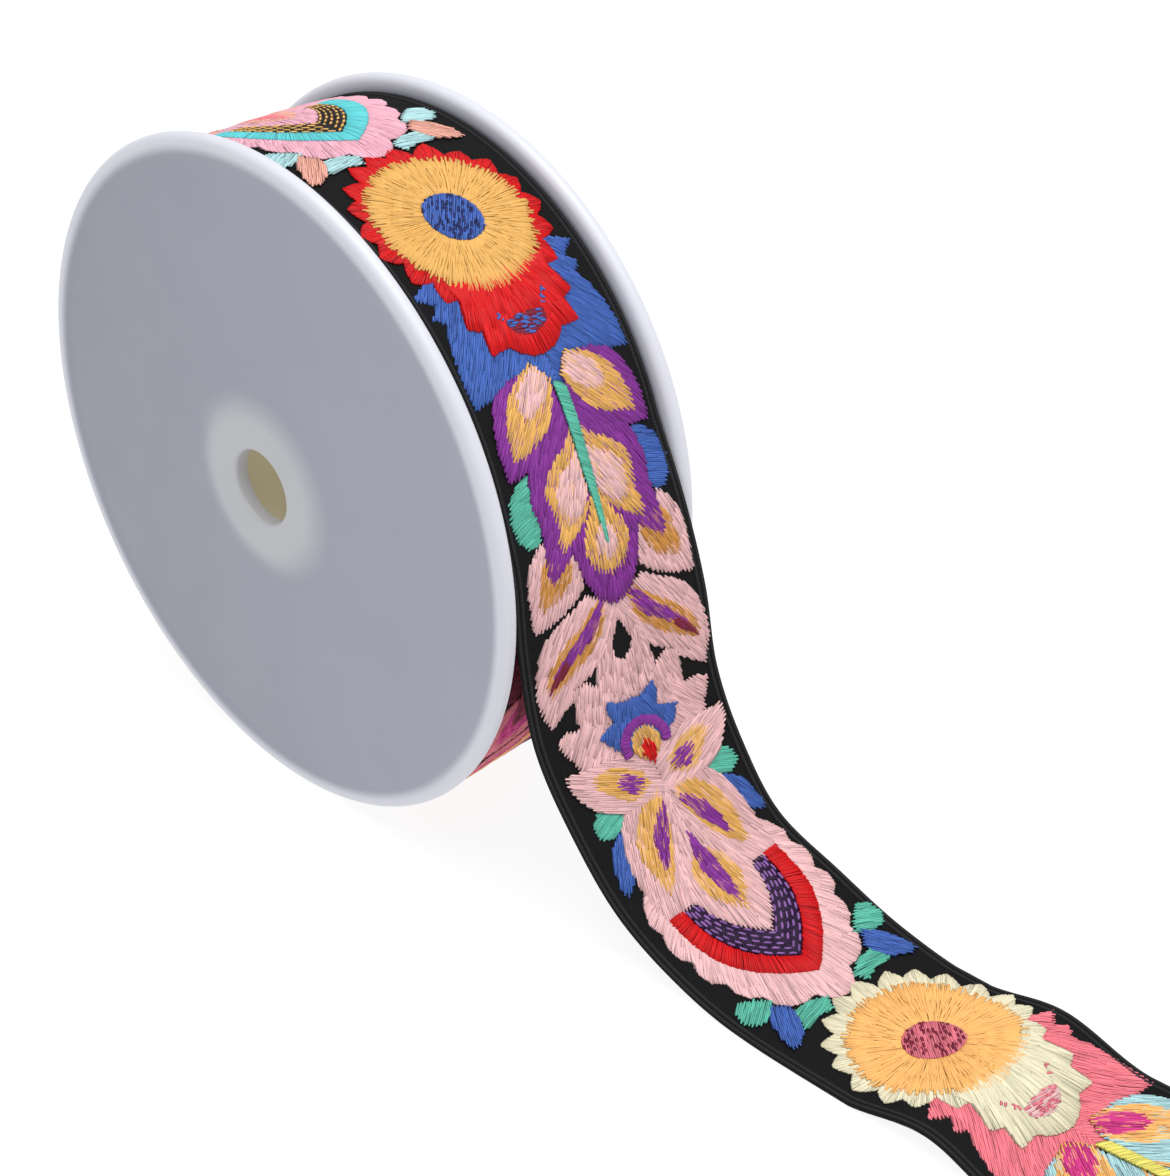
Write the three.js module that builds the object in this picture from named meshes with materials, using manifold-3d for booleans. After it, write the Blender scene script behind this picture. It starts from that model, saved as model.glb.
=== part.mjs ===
// A spool of wide embroidered trim that stands on the rims of its two flanges, with the trim's loose
// end coming over the top, down in front and out along the surface.
// Units are millimetres. Z is up, the spool's axis lies along Y and the loose end runs out along +X.

import * as THREE from 'three';
import { mergeVertices } from 'three/addons/utils/BufferGeometryUtils.js';
import Module from 'manifold-3d';

// Spool
const FLANGE_RADIUS = 83;
const FLANGE_SPACING = 55; // between the middle planes of the two flanges
const FLANGE_SIDES = 72;
const PLATE_THICKNESS = 3;
const RIM_RADIUS = 2; // the rim is a round bead, a little thicker than the plate
const RIM_BLEND = 6; // width over which the plate thickens into the bead
const HOLE_RADIUS = 9.3;
const HOLE_CHAMFER = 1;
const BOSS_RADIUS = 17; // the low raised ring round the hole is flat out to here
const BOSS_FALL = 5; // width over which it falls to the plate
const BOSS_HEIGHT = 0.8;
const CORE_RADIUS = 20;
const CORE_WALL = 2.2;
const CORE_SIDES = 48;
const FLAT_SPOT_DEPTH = 0.25; // taken off the bottom of each rim

// Trim
const TRIM_WIDTH = 50;
const TRIM_THICKNESS = 1.6;
const TURN_PITCH = 2; // one turn's thickness with the air between turns
const ROLL_RADIUS = 80; // outside of the outermost turn
const ROLL_SIDES = 120;
const LEAVING_ANGLE = 70; // degrees from the top of the roll, forwards, where the loose end leaves it
const SLACK_DEPTH = 4; // the turn below the loose end hangs slack by this much
const SLACK_ANGLE = 136;
const SLACK_HALF_SPREAD = 45;

// The loose end's centre line below the roll, one row for each fold step along it: how far it lies
// forward of the axle, to the back and up from the surface, and how many degrees its back edge is
// turned outwards. Heights under half the trim's thickness are where it lies flat on the surface.
const LOOSE_END_ROWS = [
  { forward: 81.5, back: 0, up: 91.5, twist: 4 },
  { forward: 86, back: 0, up: 71.5, twist: 11 },
  { forward: 90.5, back: 0, up: 51, twist: 11.5 },
  { forward: 98.5, back: 2, up: 32, twist: 9 },
  { forward: 111, back: 3.5, up: 15.5, twist: 7 },
  { forward: 129.5, back: 5, up: 6, twist: 8.5 },
  { forward: 149.5, back: 5, up: 2, twist: 3.5 },
  { forward: 170.5, back: 6, up: 0.5, twist: 0 },
  { forward: 191, back: 7, up: 5, twist: -0.5 },
  { forward: 211.5, back: 7, up: 0.5, twist: 1 },
  { forward: 232, back: 9.5, up: 0.5, twist: 0 },
];
const STEPS_PER_ROW = 5;
const STEPS_ACROSS = 4;

const FIT_GAP = 0.3; // between neighbouring pieces
const AXLE_HEIGHT = FLANGE_RADIUS - FLAT_SPOT_DEPTH;

const wasm = await Module();
wasm.setup();

function weld(geometry) {
  geometry.deleteAttribute('normal');
  geometry.deleteAttribute('uv');
  return mergeVertices(geometry);
}

function toSolid(geometry) {
  const welded = weld(geometry);
  return new wasm.Manifold(new wasm.Mesh({
    numProp: 3,
    vertProperties: welded.attributes.position.array,
    triVerts: new Uint32Array(welded.index.array),
  }));
}

function toGeometry(solid) {
  const mesh = solid.getMesh();
  const geometry = new THREE.BufferGeometry();
  geometry.setAttribute('position', new THREE.BufferAttribute(mesh.vertProperties, 3));
  geometry.setIndex(new THREE.BufferAttribute(mesh.triVerts, 1));
  return geometry;
}

// A smooth rise from 0 to 1 as t goes from 0 to 1.
function easeInOut(t) {
  return (1 - Math.cos(Math.PI * t)) / 2;
}

// Points from one radius and height to another, following easeInOut and leaving out the first point.
function ramp(fromRadius, fromHeight, toRadius, toHeight, steps) {
  return Array.from({ length: steps }, (_, index) => {
    const t = (index + 1) / steps;
    return new THREE.Vector2(
      THREE.MathUtils.lerp(fromRadius, toRadius, t),
      THREE.MathUtils.lerp(fromHeight, toHeight, easeInOut(t)),
    );
  });
}

// The flange's section: radius across, and height along the axle with the outer face up. It runs
// out along the inner face, round the bead, and back over the outer face, boss and chamfer.
function flangeProfile() {
  const face = PLATE_THICKNESS / 2;
  const bossFace = face + BOSS_HEIGHT;
  const beadCentre = FLANGE_RADIUS - RIM_RADIUS;
  const plateEdge = beadCentre - RIM_BLEND;
  const rampSteps = 3;
  const rimSteps = 8;
  const rim = Array.from({ length: rimSteps - 1 }, (_, index) => {
    const angle = Math.PI * ((index + 1) / rimSteps - 0.5);
    return new THREE.Vector2(
      beadCentre + RIM_RADIUS * Math.cos(angle),
      RIM_RADIUS * Math.sin(angle),
    );
  });
  return [
    new THREE.Vector2(HOLE_RADIUS, -face),
    new THREE.Vector2(plateEdge, -face),
    ...ramp(plateEdge, -face, beadCentre, -RIM_RADIUS, rampSteps),
    ...rim,
    new THREE.Vector2(beadCentre, RIM_RADIUS),
    ...ramp(beadCentre, RIM_RADIUS, plateEdge, face, rampSteps),
    new THREE.Vector2(BOSS_RADIUS + BOSS_FALL, face),
    ...ramp(BOSS_RADIUS + BOSS_FALL, face, BOSS_RADIUS, bossFace, rampSteps),
    new THREE.Vector2(HOLE_RADIUS + HOLE_CHAMFER, bossFace),
    new THREE.Vector2(HOLE_RADIUS, bossFace - HOLE_CHAMFER),
    new THREE.Vector2(HOLE_RADIUS, -face),
  ];
}

// A disc with a round bead for its rim and a flat spot at its lowest point.
function flangeGeometry() {
  const disc = toSolid(new THREE.LatheGeometry(flangeProfile(), FLANGE_SIDES));
  const reach = FLANGE_RADIUS / 2;
  const below = new THREE.BoxGeometry(reach, reach, reach);
  below.translate(0, 0, FLAT_SPOT_DEPTH - FLANGE_RADIUS - reach / 2);
  return toGeometry(disc.subtract(toSolid(below)));
}

// A plain tube along the axle.
function coreGeometry() {
  const halfLength = (FLANGE_SPACING - PLATE_THICKNESS) / 2 - FIT_GAP;
  const inner = CORE_RADIUS - CORE_WALL;
  const profile = [
    new THREE.Vector2(inner, -halfLength),
    new THREE.Vector2(CORE_RADIUS, -halfLength),
    new THREE.Vector2(CORE_RADIUS, halfLength),
    new THREE.Vector2(inner, halfLength),
    new THREE.Vector2(inner, -halfLength),
  ];
  return weld(new THREE.LatheGeometry(profile, CORE_SIDES));
}

// How far the turn under the loose end stands off the roll at an angle in degrees from the top.
function slackAt(angle) {
  const offset = (angle - SLACK_ANGLE) / SLACK_HALF_SPREAD;
  return Math.abs(offset) < 1 ? SLACK_DEPTH * Math.cos(offset * Math.PI / 2) ** 2 : 0;
}

// The wound trim: an outline that grows by one turn's pitch in one lap, from the turn under the loose
// end to the end of the outermost turn, with a bore for the core, extruded to the trim's width.
function rollGeometry() {
  const gapAngle = THREE.MathUtils.radToDeg(FIT_GAP / ROLL_RADIUS);
  const outline = Array.from({ length: ROLL_SIDES + 1 }, (_, index) => {
    const lap = index / ROLL_SIDES;
    const angle = LEAVING_ANGLE - gapAngle + 360 * lap;
    const radius = ROLL_RADIUS - TURN_PITCH * (1 - lap) + slackAt(angle);
    const turned = THREE.MathUtils.degToRad(angle);
    return new THREE.Vector2(radius * Math.sin(turned), radius * Math.cos(turned));
  });
  const shape = new THREE.Shape(outline);
  shape.holes.push(new THREE.Path().absarc(0, 0, CORE_RADIUS + FIT_GAP, 0, 2 * Math.PI));
  const settings = { depth: TRIM_WIDTH, bevelEnabled: false, curveSegments: CORE_SIDES / 2 };
  const geometry = new THREE.ExtrudeGeometry(shape, settings);
  geometry.rotateX(Math.PI / 2);
  geometry.translate(0, TRIM_WIDTH / 2, 0);
  return weld(geometry);
}

// The loose end's rows with the one at the leaving point put before them.
function looseEndRows() {
  const radius = ROLL_RADIUS - TRIM_THICKNESS / 2;
  const turned = THREE.MathUtils.degToRad(LEAVING_ANGLE);
  const forward = radius * Math.sin(turned);
  const up = AXLE_HEIGHT + radius * Math.cos(turned);
  return [{ forward, back: 0, up, twist: 0 }, ...LOOSE_END_ROWS];
}

// The loose end's middle surface as a grid of points: lines across it, each turned by the twist about
// the smooth curve through the rows, and nowhere lower than half the thickness.
function looseEndMiddle() {
  const rows = looseEndRows();
  const centre = new THREE.CatmullRomCurve3(
    rows.map((row) => new THREE.Vector3(row.forward, row.back, row.up)),
    false,
    'catmullrom',
  );
  const twist = new THREE.CatmullRomCurve3(
    rows.map((row) => new THREE.Vector3(THREE.MathUtils.degToRad(row.twist), 0, 0)),
    false,
    'catmullrom',
  );
  const steps = (rows.length - 1) * STEPS_PER_ROW;
  return Array.from({ length: steps + 1 }, (_, step) => {
    const t = step / steps;
    const middle = centre.getPoint(t);
    const along = centre.getTangent(t);
    const outward = new THREE.Vector3(-along.z, 0, along.x).normalize();
    const turned = twist.getPoint(t).x;
    const across = outward.multiplyScalar(Math.sin(turned)).add(new THREE.Vector3(0, Math.cos(turned), 0));
    return Array.from({ length: STEPS_ACROSS + 1 }, (_, place) => {
      const reach = TRIM_WIDTH * (place / STEPS_ACROSS - 0.5);
      const point = middle.clone().addScaledVector(across, reach);
      point.z = Math.max(point.z, TRIM_THICKNESS / 2);
      return point;
    });
  });
}

// The grid's unit normal at one point, from its neighbours along and across.
function gridNormal(grid, step, place) {
  const lastStep = grid.length - 1;
  const lastPlace = grid[0].length - 1;
  const ahead = grid[Math.min(step + 1, lastStep)][place];
  const behind = grid[Math.max(step - 1, 0)][place];
  const backwards = grid[step][Math.min(place + 1, lastPlace)];
  const forwards = grid[step][Math.max(place - 1, 0)];
  const along = ahead.clone().sub(behind);
  const across = backwards.clone().sub(forwards);
  return along.cross(across).normalize();
}

// A closed sheet: the middle surface carried half the thickness to each side, with its four edges.
function looseEndGeometry() {
  const grid = looseEndMiddle();
  const rowLength = grid[0].length;
  const sideLength = grid.length * rowLength;
  const positions = [];
  for (const side of [1, -1]) {
    grid.forEach((line, step) => line.forEach((point, place) => {
      const offset = gridNormal(grid, step, place).multiplyScalar(side * TRIM_THICKNESS / 2);
      positions.push(...point.clone().add(offset).toArray());
    }));
  }
  const faces = [];
  const top = (step, place) => step * rowLength + place;
  const bottom = (step, place) => sideLength + top(step, place);
  const addQuad = (a, b, c, d) => faces.push(a, b, c, a, c, d);
  for (let step = 0; step < grid.length - 1; step += 1) {
    for (let place = 0; place < rowLength - 1; place += 1) {
      addQuad(top(step, place), top(step + 1, place), top(step + 1, place + 1), top(step, place + 1));
      addQuad(bottom(step, place), bottom(step, place + 1), bottom(step + 1, place + 1), bottom(step + 1, place));
    }
    const last = rowLength - 1;
    addQuad(top(step, 0), bottom(step, 0), bottom(step + 1, 0), top(step + 1, 0));
    addQuad(top(step, last), top(step + 1, last), bottom(step + 1, last), bottom(step, last));
  }
  for (let place = 0; place < rowLength - 1; place += 1) {
    const end = grid.length - 1;
    addQuad(top(0, place), top(0, place + 1), bottom(0, place + 1), bottom(0, place));
    addQuad(top(end, place), bottom(end, place), bottom(end, place + 1), top(end, place + 1));
  }
  const geometry = new THREE.BufferGeometry();
  geometry.setAttribute('position', new THREE.Float32BufferAttribute(positions, 3));
  geometry.setIndex(faces);
  return geometry;
}

const flangePlastic = { color: 0xc6c8d2, roughness: 0.45, metalness: 0 };
const corePlastic = { color: 0xd8d6cc, roughness: 0.5, metalness: 0 };
const trimCloth = { color: 0x2a2426, roughness: 0.85, metalness: 0 };

function makePiece(name, geometry, material) {
  const mesh = new THREE.Mesh(geometry, new THREE.MeshStandardMaterial(material));
  mesh.name = name;
  return mesh;
}

// The back flange's outer face looks along +Y, and the front one is the same piece turned round.
function makeSpool() {
  const spool = new THREE.Group();
  spool.position.z = AXLE_HEIGHT;
  for (const [name, side, turn] of [['flange_front', -1, Math.PI], ['flange_back', 1, 0]]) {
    const flange = makePiece(name, flangeGeometry(), flangePlastic);
    flange.position.y = side * FLANGE_SPACING / 2;
    flange.rotation.z = turn;
    spool.add(flange);
  }
  spool.add(makePiece('core', coreGeometry(), corePlastic));
  spool.add(makePiece('trim_roll', rollGeometry(), trimCloth));
  return spool;
}

// The origin is under the middle of the whole object, on the surface that it stands on.
function makeRollOfTrim() {
  const object = new THREE.Group();
  object.add(makeSpool());
  object.add(makePiece('loose_end', looseEndGeometry(), trimCloth));
  const middle = new THREE.Box3().setFromObject(object).getCenter(new THREE.Vector3());
  object.position.set(-middle.x, -middle.y, 0);
  return object;
}

export default makeRollOfTrim();
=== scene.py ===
# Looks for a spool of wide embroidered trim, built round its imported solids.
# Tables are in millimetres. Along the trim, s counts from where the loose end leaves the roll and
# grows towards the cut end. Across it, v counts from the middle and grows towards the back flange.

import math
from collections import namedtuple

import bpy
import numpy as np
from bpy.props import FloatProperty, FloatVectorProperty, IntProperty, PointerProperty
from mathutils import Matrix, Vector


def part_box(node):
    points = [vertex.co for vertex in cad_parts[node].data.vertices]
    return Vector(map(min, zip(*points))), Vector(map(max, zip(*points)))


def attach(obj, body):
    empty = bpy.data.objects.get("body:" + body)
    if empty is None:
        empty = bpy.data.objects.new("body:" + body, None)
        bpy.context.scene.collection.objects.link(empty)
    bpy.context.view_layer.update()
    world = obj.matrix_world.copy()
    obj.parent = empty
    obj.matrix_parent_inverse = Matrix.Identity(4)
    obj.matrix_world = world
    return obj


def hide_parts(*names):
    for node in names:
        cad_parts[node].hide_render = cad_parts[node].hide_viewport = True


bl_info = {
    "name": "Embroidered Trim Roll",
    "version": (1, 0, 0),
    "blender": (4, 5, 0),
    "location": "View3D > Sidebar > Trim Roll",
    "description": "Builds a flanged spool of wide trim with stitched flowers and leaves",
    "category": "Add Mesh",
}

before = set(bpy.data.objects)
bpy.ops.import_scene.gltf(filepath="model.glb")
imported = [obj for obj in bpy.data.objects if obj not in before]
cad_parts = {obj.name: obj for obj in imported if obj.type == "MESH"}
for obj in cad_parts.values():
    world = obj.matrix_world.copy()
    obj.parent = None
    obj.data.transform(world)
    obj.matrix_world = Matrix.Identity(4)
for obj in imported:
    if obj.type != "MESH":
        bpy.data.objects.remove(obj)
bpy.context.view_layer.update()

MM = 0.001
BODY = "root"
FLANGE_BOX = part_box("flange_front")
BACK_FLANGE_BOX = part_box("flange_back")
CORE_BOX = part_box("core")


def linear(red, green, blue):
    """A colour given as 0 to 255 display values, as the linear values that Blender mixes."""
    values = np.array([red, green, blue]) / 255
    return tuple(np.where(values <= 0.04045, values / 12.92, ((values + 0.055) / 1.055) ** 2.4))


def length_setting(name, description, millimetres):
    return FloatProperty(
        name=name, description=description, default=millimetres * MM, min=0, unit="LENGTH", precision=5
    )


def angle_setting(name, description, degrees):
    return FloatProperty(
        name=name, description=description, default=math.radians(degrees), unit="ROTATION"
    )


def colour_setting(name, description, red, green, blue):
    return FloatVectorProperty(
        name=name,
        description=description,
        subtype="COLOR",
        size=3,
        min=0,
        max=1,
        default=linear(red, green, blue),
    )


def thread_setting(name, red, green, blue):
    return colour_setting(name, "Thread colour", red, green, blue)


# Settings that the sidebar shows


class SpoolSettings(bpy.types.PropertyGroup):
    """Sizes and colours of the two flanges and the core"""

    plate_thickness: length_setting("Plate", "Thickness of a flange's flat plate", 3)
    rim_radius: length_setting("Rim bead", "Radius of the round bead that is the rim", 2)
    rim_blend: length_setting("Rim blend", "Width over which the plate thickens into the bead", 6)
    hole_radius: length_setting("Hole", "Radius of the spindle hole", 9.3)
    chamfer: length_setting("Chamfer", "Width of the hole's chamfer", 1)
    boss_radius: length_setting("Boss", "Radius of the flat top of the raised ring", 17)
    boss_fall: length_setting("Boss fall", "Width over which the ring falls to the plate", 5)
    boss_height: length_setting("Boss height", "Height of the raised ring", 0.8)
    core_wall: length_setting("Core wall", "Thickness of the core's tube", 2.2)
    sides: IntProperty(name="Sides", description="Steps round each turned piece", default=240, min=24)
    # The lighter rim colour is painted light, where light passes through the plastic with nothing dark
    # behind it
    plastic: colour_setting("Plastic", "Colour of the flanges where nothing dark is behind", 198, 199, 207)
    # Darker plate colour: painted shade where the dark roll stands behind the plastic
    painted_shade_plastic: colour_setting("Shaded plastic", "Colour of the plates over the roll", 142, 144, 158)
    # Lighter ring colour near the hollow core: painted glow of the light that comes through the core
    painted_glow_ring: colour_setting("Ring", "Colour of the plate near the hollow core", 172, 173, 177)
    core_plastic: colour_setting("Core", "Colour of the core", 214, 206, 180)


class TrimSettings(bpy.types.PropertyGroup):
    """Sizes of the trim, its path on the roll and its stitches"""

    width: length_setting("Width", "Width of the trim", 50)
    cloth_thickness: length_setting("Cloth", "Thickness of the ground cloth with its backs of threads", 1)
    half_thickness: length_setting("Half thickness", "Half the thickness of the trim with its stitches", 0.8)
    roll_radius: length_setting("Roll", "Radius of the outermost turn", 80)
    turn_pitch: length_setting("Turn pitch", "Radius that each turn adds", 2)
    leaving_angle: angle_setting("Leaving angle", "Where the loose end leaves, from the top forwards", 70)
    slack_depth: length_setting("Slack", "How far the turn below the loose end hangs out", 4)
    slack_angle: angle_setting("Slack angle", "Where it hangs out most", 136)
    slack_spread: angle_setting("Slack spread", "Half the angle over which it hangs out", 45)
    selvedge: length_setting("Selvedge", "Width of the corded edge", 2.6)
    cord_height: length_setting("Cord height", "Height of the selvedge's cords", 0.32)
    thread_pitch: length_setting("Thread pitch", "Distance between neighbouring threads", 0.42)
    thread_width: length_setting("Thread width", "Width of a thread", 0.58)
    seed: IntProperty(name="Seed", description="Picks the small unevenness of the stitches", default=7)


class ThreadSettings(bpy.types.PropertyGroup):
    """Colours of the ground cloth and of the embroidery threads"""

    ground: colour_setting("Ground", "Black ground cloth", 24, 24, 25)
    red: thread_setting("Red", 205, 18, 23)
    amber: thread_setting("Amber", 206, 146, 74)
    gold: thread_setting("Gold", 226, 175, 97)
    blue: thread_setting("Blue", 68, 102, 179)
    navy: thread_setting("Navy", 38, 45, 98)
    pale_pink: thread_setting("Pale pink", 231, 187, 188)
    rose: thread_setting("Rose", 222, 120, 135)
    violet: thread_setting("Violet", 136, 54, 151)
    mint: thread_setting("Mint", 94, 186, 162)
    orange: thread_setting("Orange", 253, 188, 112)
    cream: thread_setting("Cream", 224, 217, 187)
    maroon: thread_setting("Maroon", 128, 38, 62)
    coral: thread_setting("Coral", 240, 128, 141)
    magenta: thread_setting("Magenta", 213, 61, 138)
    aqua: thread_setting("Aqua", 174, 213, 216)
    yellow: thread_setting("Yellow", 230, 220, 112)
    turquoise: thread_setting("Turquoise", 95, 200, 205)
    peach: thread_setting("Peach", 227, 166, 149)
    candy: thread_setting("Candy pink", 230, 173, 189)
    aubergine: thread_setting("Aubergine", 40, 18, 54)
    lilac: thread_setting("Lilac", 140, 98, 165)
    black: thread_setting("Black", 34, 28, 30)


class StageSettings(bpy.types.PropertyGroup):
    """Camera, light and floor"""

    azimuth: angle_setting("Azimuth", "Camera's direction round the spool", 44.646)
    elevation: angle_setting("Elevation", "Camera's height angle", 32.557)
    roll: angle_setting("Roll", "Camera's turn about its own axis", 0.103)
    focal: FloatProperty(name="Focal length", description="In image heights", default=2070.5 / 1176)
    camera_place: FloatVectorProperty(
        name="Camera",
        description="Where the camera stands",
        size=3,
        subtype="TRANSLATION",
        unit="LENGTH",
        default=(0.2730, -0.2763, 0.3222),
    )
    floor_radius: length_setting("Floor", "Radius of the round floor", 4000)
    floor_colour: colour_setting("Floor", "Colour of the floor", 105, 105, 107)
    sky: FloatProperty(name="Sky", description="Strength of the even light from all round", default=0.5)
    key: FloatProperty(name="Key", description="Strength of the large soft light", default=26)



# Shader maths


def maths(operation, swapped=False):
    """A method that joins a Math node to this value and any others, in turned order if swapped."""

    def method(self, *others):
        inputs = (*others, self) if swapped else (self, *others)
        return self.graph.node("Math", {"operation": operation}, dict(enumerate(inputs)))

    return method


class Value:
    """A number socket in a graph. Python's operators add the Math nodes."""

    def __init__(self, graph, socket):
        self.graph = graph
        self.socket = socket

    __add__ = maths("ADD")
    __sub__ = maths("SUBTRACT")
    __rsub__ = maths("SUBTRACT", swapped=True)
    __mul__ = maths("MULTIPLY")
    __truediv__ = maths("DIVIDE")
    __pow__ = maths("POWER")
    __abs__ = maths("ABSOLUTE")
    above = maths("GREATER_THAN")
    root = maths("SQRT")
    fraction = maths("FRACT")
    sine = maths("SINE")

    def wave(self, length, turn=math.tau):
        """The sine of an angle that grows by turn over each length and then starts again."""
        return ((self / length).fraction() * turn).sine()

    def smooth(self, low, high, to_low=0.0, to_high=1.0):
        """A smooth step from one value to another as this one goes from low to high."""
        settings = {"interpolation_type": "SMOOTHSTEP"}
        inputs = {"Value": self, "From Min": low, "From Max": high, "To Min": to_low, "To Max": to_high}
        return self.graph.node("MapRange", settings, inputs, "Result")


class Graph:
    """A material's nodes round one Principled shader, whose sockets shine() fills. Sockets are
    given by their names, or by their numbers where names repeat."""

    def __init__(self, name):
        self.material = bpy.data.materials.new(name)
        self.material.use_nodes = True
        self.tree = self.material.node_tree
        self.shader = self.tree.nodes["Principled BSDF"]

    def node(self, kind, settings=None, inputs=None, output=0):
        """Adds a node of a type, sets it up, fills its sockets, and returns one output as a Value."""
        node = self.tree.nodes.new("ShaderNode" + kind)
        for key, value in (settings or {}).items():
            setattr(node, key, value)
        for key, value in (inputs or {}).items():
            self.fill(node.inputs[key], value)
        return Value(self, node.outputs[output])

    def fill(self, socket, value):
        if isinstance(value, Value):
            self.tree.links.new(value.socket, socket)
        elif isinstance(value, (tuple, list)) and socket.type == "RGBA":
            socket.default_value = (*value, 1.0)
        else:
            socket.default_value = value

    def coordinates(self):
        return self.node("TexCoord", output="Object")

    def trim_map(self):
        return self.node("UVMap", {"uv_map": "trim"})

    def parts(self, vector):
        split = self.node("SeparateXYZ", inputs={0: vector}).socket.node
        return [Value(self, socket) for socket in split.outputs]

    def attribute(self, name):
        return self.node("Attribute", {"attribute_name": name}, output="Fac")

    def noise(self, vector, scale, detail=2.0):
        return self.node("TexNoise", {}, {"Vector": vector, "Scale": scale, "Detail": detail}, "Fac")

    def mix(self, factor, first, second):
        return self.node("Mix", {"data_type": "RGBA"}, {"Factor": factor, 6: first, 7: second}, 2)

    def bump(self, height, distance, strength=1.0):
        return self.node("Bump", {}, {"Height": height, "Distance": distance, "Strength": strength})

    def shine(self, **sockets):
        for name, value in sockets.items():
            self.fill(self.shader.inputs[name.replace("_", " ")], value)
        return self.material


# Materials

# Radii where the plate's painted shade gives way to the rim's painted light
BEAD_FADE = (78 * MM, 81 * MM)
# Radii over which the painted glow ring round the core fades
RING_FADE = (16 * MM, 25 * MM)
# Dark and light ends of the painted side light across the flange plate
PLATE_SIDE_LIGHT = (0.86, 1.1)
# Strength of the painted glow that stands in for light through the flange plastic
GLOW = 0.15
# Strength of the painted glow that stands in for light through the core's wall
CORE_GLOW = 0.16
SELVEDGE_INNER_EDGE = 22.4
TWILL_STEP = 0.62
TWILL_SLANT = 0.7
RIB_STEP = 0.55
CORD_STEP = 1.3
# How much lighter the cords' crests are: a painted highlight
CORD_HIGHLIGHT = 3.2
FLOAT_SIZE = (4.5, 0.5)


def scaled(colour, factor):
    return tuple(min(1.0, channel * factor) for channel in colour)


def flange_plastic(settings):
    """Pale moulded plastic with painted light and shade: a little lit by an emission that is a painted glow
    for what passes through it, a rim lighter as painted light, a plate darker as painted shade over the
    dark roll and lighter towards +X, and a soft painted glow ring where the hollow core stands behind the
    plate."""
    graph = Graph("flange_plastic")
    place = graph.coordinates()
    x, _, z = graph.parts(place)
    axle = axle_place()
    from_axle = ((x - axle[0]) ** 2 + (z - axle[2]) ** 2).root()
    inside_rim = from_axle.smooth(*BEAD_FADE, 1.0, 0.0)
    # Masks: the plate inside the rim, and the painted glow ring round the hollow core
    ring = from_axle.smooth(*RING_FADE, 1.0, 0.0)
    cloud = graph.noise(place, 18, 3)
    # Painted side light: the shaded plate grows lighter towards +X, and the noise adds random mottling
    side_light_and_mottle = x.smooth(FLANGE_BOX[0].x, FLANGE_BOX[1].x, 0.1, 0.9) + (cloud - 0.5) * 0.3
    shaded = (scaled(settings.painted_shade_plastic, tone) for tone in PLATE_SIDE_LIGHT)
    plate = graph.mix(ring, graph.mix(side_light_and_mottle, *shaded), tuple(settings.painted_glow_ring))
    # The rim takes the lighter colour: painted light through the plastic where nothing dark stands behind it
    colour = graph.mix(inside_rim, tuple(settings.plastic), plate)
    grain = graph.noise(place, 900, 2)
    # The emission is a painted glow that stands in for light passing through the plastic
    return graph.shine(
        Emission_Color=colour,
        Emission_Strength=GLOW,
        Base_Color=colour,
        Roughness=graph.noise(place, 60, 2).smooth(0.3, 0.7, 0.38, 0.46),
        Normal=graph.bump(grain, 0.02 * MM, 0.5),
    )


def core_plastic(settings):
    """The core's warmer plastic, a little lit by a painted glow that stands in for the light that passes its
    wall.
    """
    graph = Graph("core_plastic")
    cloud = graph.noise(graph.coordinates(), 60, 3)
    # The emission is a painted glow for light through the core's wall
    return graph.shine(
        Emission_Color=tuple(settings.core_plastic),
        Emission_Strength=CORE_GLOW,
        Base_Color=graph.mix(cloud, scaled(settings.core_plastic, 0.94), tuple(settings.core_plastic)),
        Roughness=0.5,
        Normal=graph.bump(cloud, 0.05 * MM),
    )


def ground_cloth_finish(settings):
    """Black twill: fine slanted ribs, ribs straight across the cords of the selvedges, and short
    grey floats of thread on the wrong side. The cloth's map gives the places along and across it."""
    graph = Graph("ground_cloth")
    along, across, _ = graph.parts(graph.trim_map())
    along, across = along / MM, across / MM
    edge = abs(across).above(SELVEDGE_INNER_EDGE)
    twill = (along + across * TWILL_SLANT).wave(TWILL_STEP)
    height = twill * (1 - edge) + along.wave(RIB_STEP) * edge
    fleck = graph.noise(graph.trim_map(), 2600, 2)
    cloth = graph.mix(fleck, scaled(settings.ground, 0.5), scaled(settings.ground, 1.7))
    # The cords' crests are lighter: a painted highlight along the raised cords
    crest = (25 - abs(across)).wave(CORD_STEP, math.pi) ** 3 * edge
    face = graph.mix(crest, cloth, scaled(settings.ground, CORD_HIGHLIGHT))
    long_cells = {0: along / FLOAT_SIZE[0], 1: across / FLOAT_SIZE[1], 2: 0.0}
    floats = graph.noise(graph.node("CombineXYZ", {}, long_cells), 1.0, 1).smooth(0.52, 0.6)
    wrong_side = graph.mix(floats, tuple(settings.ground), linear(120, 116, 120))
    return graph.shine(
        Base_Color=graph.mix(graph.attribute("wrong_side"), face, wrong_side),
        Roughness=0.85,
        Specular_IOR_Level=0.1,
        Normal=graph.bump(height, 0.12 * MM, 0.8),
    )


def wound_edge_finish(settings):
    """The woven edges of the wound turns: black with small flecks."""
    graph = Graph("wound_edges")
    fleck = graph.noise(graph.coordinates(), 900, 2)
    colour = graph.mix(fleck, scaled(settings.ground, 0.7), scaled(settings.ground, 1.5))
    return graph.shine(Base_Color=colour, Roughness=0.85, Normal=graph.bump(fleck, 0.2 * MM))


def thread_finish(name, colour):
    """Shiny embroidery thread. Each stitch has its own slight shade, darker in the underlay as painted
    shade between the stitches over it, and its plies show as fine ridges."""
    graph = Graph("thread_" + name)
    plies = graph.noise(graph.coordinates(), 2200, 1)
    return graph.shine(
        Base_Color=graph.mix(graph.attribute("shade"), scaled(colour, 0.5), scaled(colour, 1.1)),
        Roughness=0.5,
        Specular_IOR_Level=0.22,
        Normal=graph.bump(plies, 0.05 * MM, 0.6),
    )


# Curves and shares


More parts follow.
